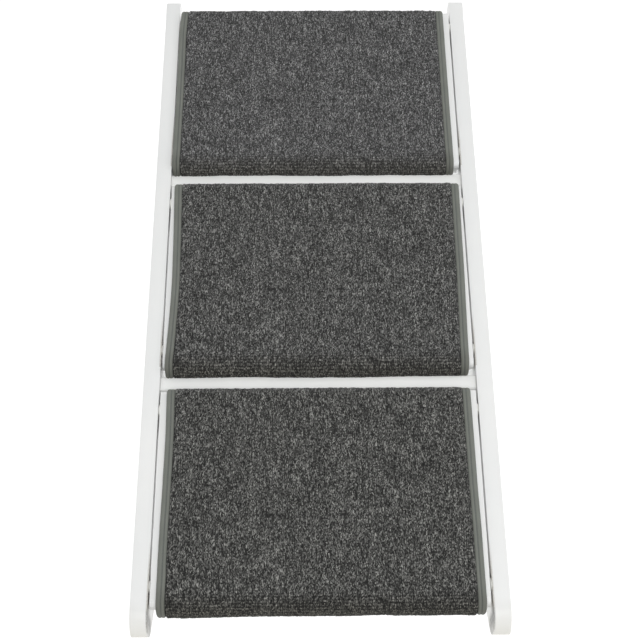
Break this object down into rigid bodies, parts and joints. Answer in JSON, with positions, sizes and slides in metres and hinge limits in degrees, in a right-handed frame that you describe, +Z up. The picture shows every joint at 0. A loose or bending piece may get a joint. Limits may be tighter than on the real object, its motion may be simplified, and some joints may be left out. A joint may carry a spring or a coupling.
{
  "type": "pet ramp",
  "caption": "Free-standing pet ramp with carpeted treads between two side rails; the treads lift level as steps on folding risers, and the leg frame folds flat.",
  "frame": {"origin": "centre of the plan on the floor", "axes": "+X across the ramp to its right as seen from the toe, +Y from the toe to the high end, +Z up"},
  "size_m": [0.4, 0.7824, 0.4979],
  "materials": {
    "white_paint": "satin white lacquer on fibreboard",
    "carpet_pile": "heather charcoal loop pile",
    "binding_tape": "grey-green twill tape",
    "white_nylon": "moulded nylon",
    "grey_rubber": "matt",
    "zinc_steel": "bright zinc plate",
    "magnet": "nickel plate"
  },
  "bodies": {
    "frame": {"rail_left": "white_paint", "rail_right": "white_paint", "crossbar_lower": "white_paint", "crossbar_upper": "white_paint", "crossbar_screws": "zinc_steel", "stop_pegs": "white_nylon", "stay_pins": "zinc_steel", "toe_pads": "grey_rubber"},
    "lower_tread": {"lower_board": "white_paint", "lower_front_batten": "white_paint", "lower_rear_batten": "white_paint", "lower_carpet": "carpet_pile", "lower_binding": "binding_tape", "lower_pivot_bolts": "zinc_steel", "lower_spacers": "white_nylon", "lower_board_leaves": "zinc_steel", "lower_magnets": "magnet"},
    "lower_riser": {"lower_riser": "white_paint", "lower_riser_leaves": "zinc_steel", "lower_hinge_pins": "zinc_steel", "lower_riser_discs": "zinc_steel", "lower_riser_strip": "grey_rubber"},
    "middle_tread": {"middle_board": "white_paint", "middle_front_batten": "white_paint", "middle_rear_batten": "white_paint", "middle_carpet": "carpet_pile", "middle_binding": "binding_tape", "middle_pivot_bolts": "zinc_steel", "middle_spacers": "white_nylon", "middle_board_leaves": "zinc_steel", "middle_magnets": "magnet"},
    "middle_riser": {"middle_riser": "white_paint", "middle_riser_leaves": "zinc_steel", "middle_hinge_pins": "zinc_steel", "middle_riser_discs": "zinc_steel"},
    "upper_tread": {"upper_board": "white_paint", "upper_front_batten": "white_paint", "upper_rear_batten": "white_paint", "upper_carpet": "carpet_pile", "upper_binding": "binding_tape", "upper_pivot_bolts": "zinc_steel", "upper_spacers": "white_nylon", "upper_board_leaves": "zinc_steel", "upper_magnets": "magnet"},
    "upper_riser": {"upper_riser": "white_paint", "upper_riser_leaves": "zinc_steel", "upper_hinge_pins": "zinc_steel", "upper_riser_discs": "zinc_steel"},
    "leg_frame": {"leg_left": "white_paint", "leg_right": "white_paint", "leg_stretcher_upper": "white_paint", "leg_stretcher_lower": "white_paint", "leg_bolts": "zinc_steel", "leg_spacers": "white_nylon", "leg_pads": "grey_rubber", "stay_rivets": "zinc_steel"},
    "left_stay": {"stay_left": "zinc_steel"},
    "right_stay": {"stay_right": "zinc_steel"}
  },
  "joints": [
    {"name": "lower_tread_lift", "type": "hinge", "parent": "frame", "child": "lower_tread", "pos_m": [0, -0.18343, 0.16296], "axis": [-1, 0, 0], "range_deg": [0, 33]},
    {"name": "middle_tread_lift", "type": "hinge", "parent": "frame", "child": "middle_tread", "pos_m": [0, 0.05307, 0.31655], "axis": [-1, 0, 0], "range_deg": [0, 33]},
    {"name": "upper_tread_lift", "type": "hinge", "parent": "frame", "child": "upper_tread", "pos_m": [0, 0.28958, 0.47014], "axis": [-1, 0, 0], "range_deg": [0, 33]},
    {"name": "lower_riser_swing", "type": "hinge", "parent": "lower_tread", "child": "lower_riser", "pos_m": [0, -0.32633, 0.04333], "axis": [-1, 0, 0], "range_deg": [0, 101.08]},
    {"name": "middle_riser_swing", "type": "hinge", "parent": "middle_tread", "child": "middle_riser", "pos_m": [0, -0.08982, 0.19692], "axis": [-1, 0, 0], "range_deg": [0, 101.36]},
    {"name": "upper_riser_swing", "type": "hinge", "parent": "upper_tread", "child": "upper_riser", "pos_m": [0, 0.14668, 0.35051], "axis": [-1, 0, 0], "range_deg": [0, 101.36]},
    {"name": "leg_frame_fold", "type": "hinge", "parent": "frame", "child": "leg_frame", "pos_m": [0, 0.32744, 0.4357], "axis": [1, 0, 0], "range_deg": [-63, 0]},
    {"name": "left_stay_fold", "type": "hinge", "parent": "leg_frame", "child": "left_stay", "pos_m": [0, 0.34835, 0.2368], "axis": [1, 0, 0], "range_deg": [-29.19, 0]},
    {"name": "right_stay_fold", "type": "hinge", "parent": "leg_frame", "child": "right_stay", "pos_m": [0, 0.34835, 0.2368], "axis": [1, 0, 0], "range_deg": [-29.19, 0]}
  ],
  "couplings": [
    {"joint": "left_stay_fold", "follows": "leg_frame_fold", "ratio": 0.46328},
    {"joint": "right_stay_fold", "follows": "leg_frame_fold", "ratio": 0.46328}
  ]
}
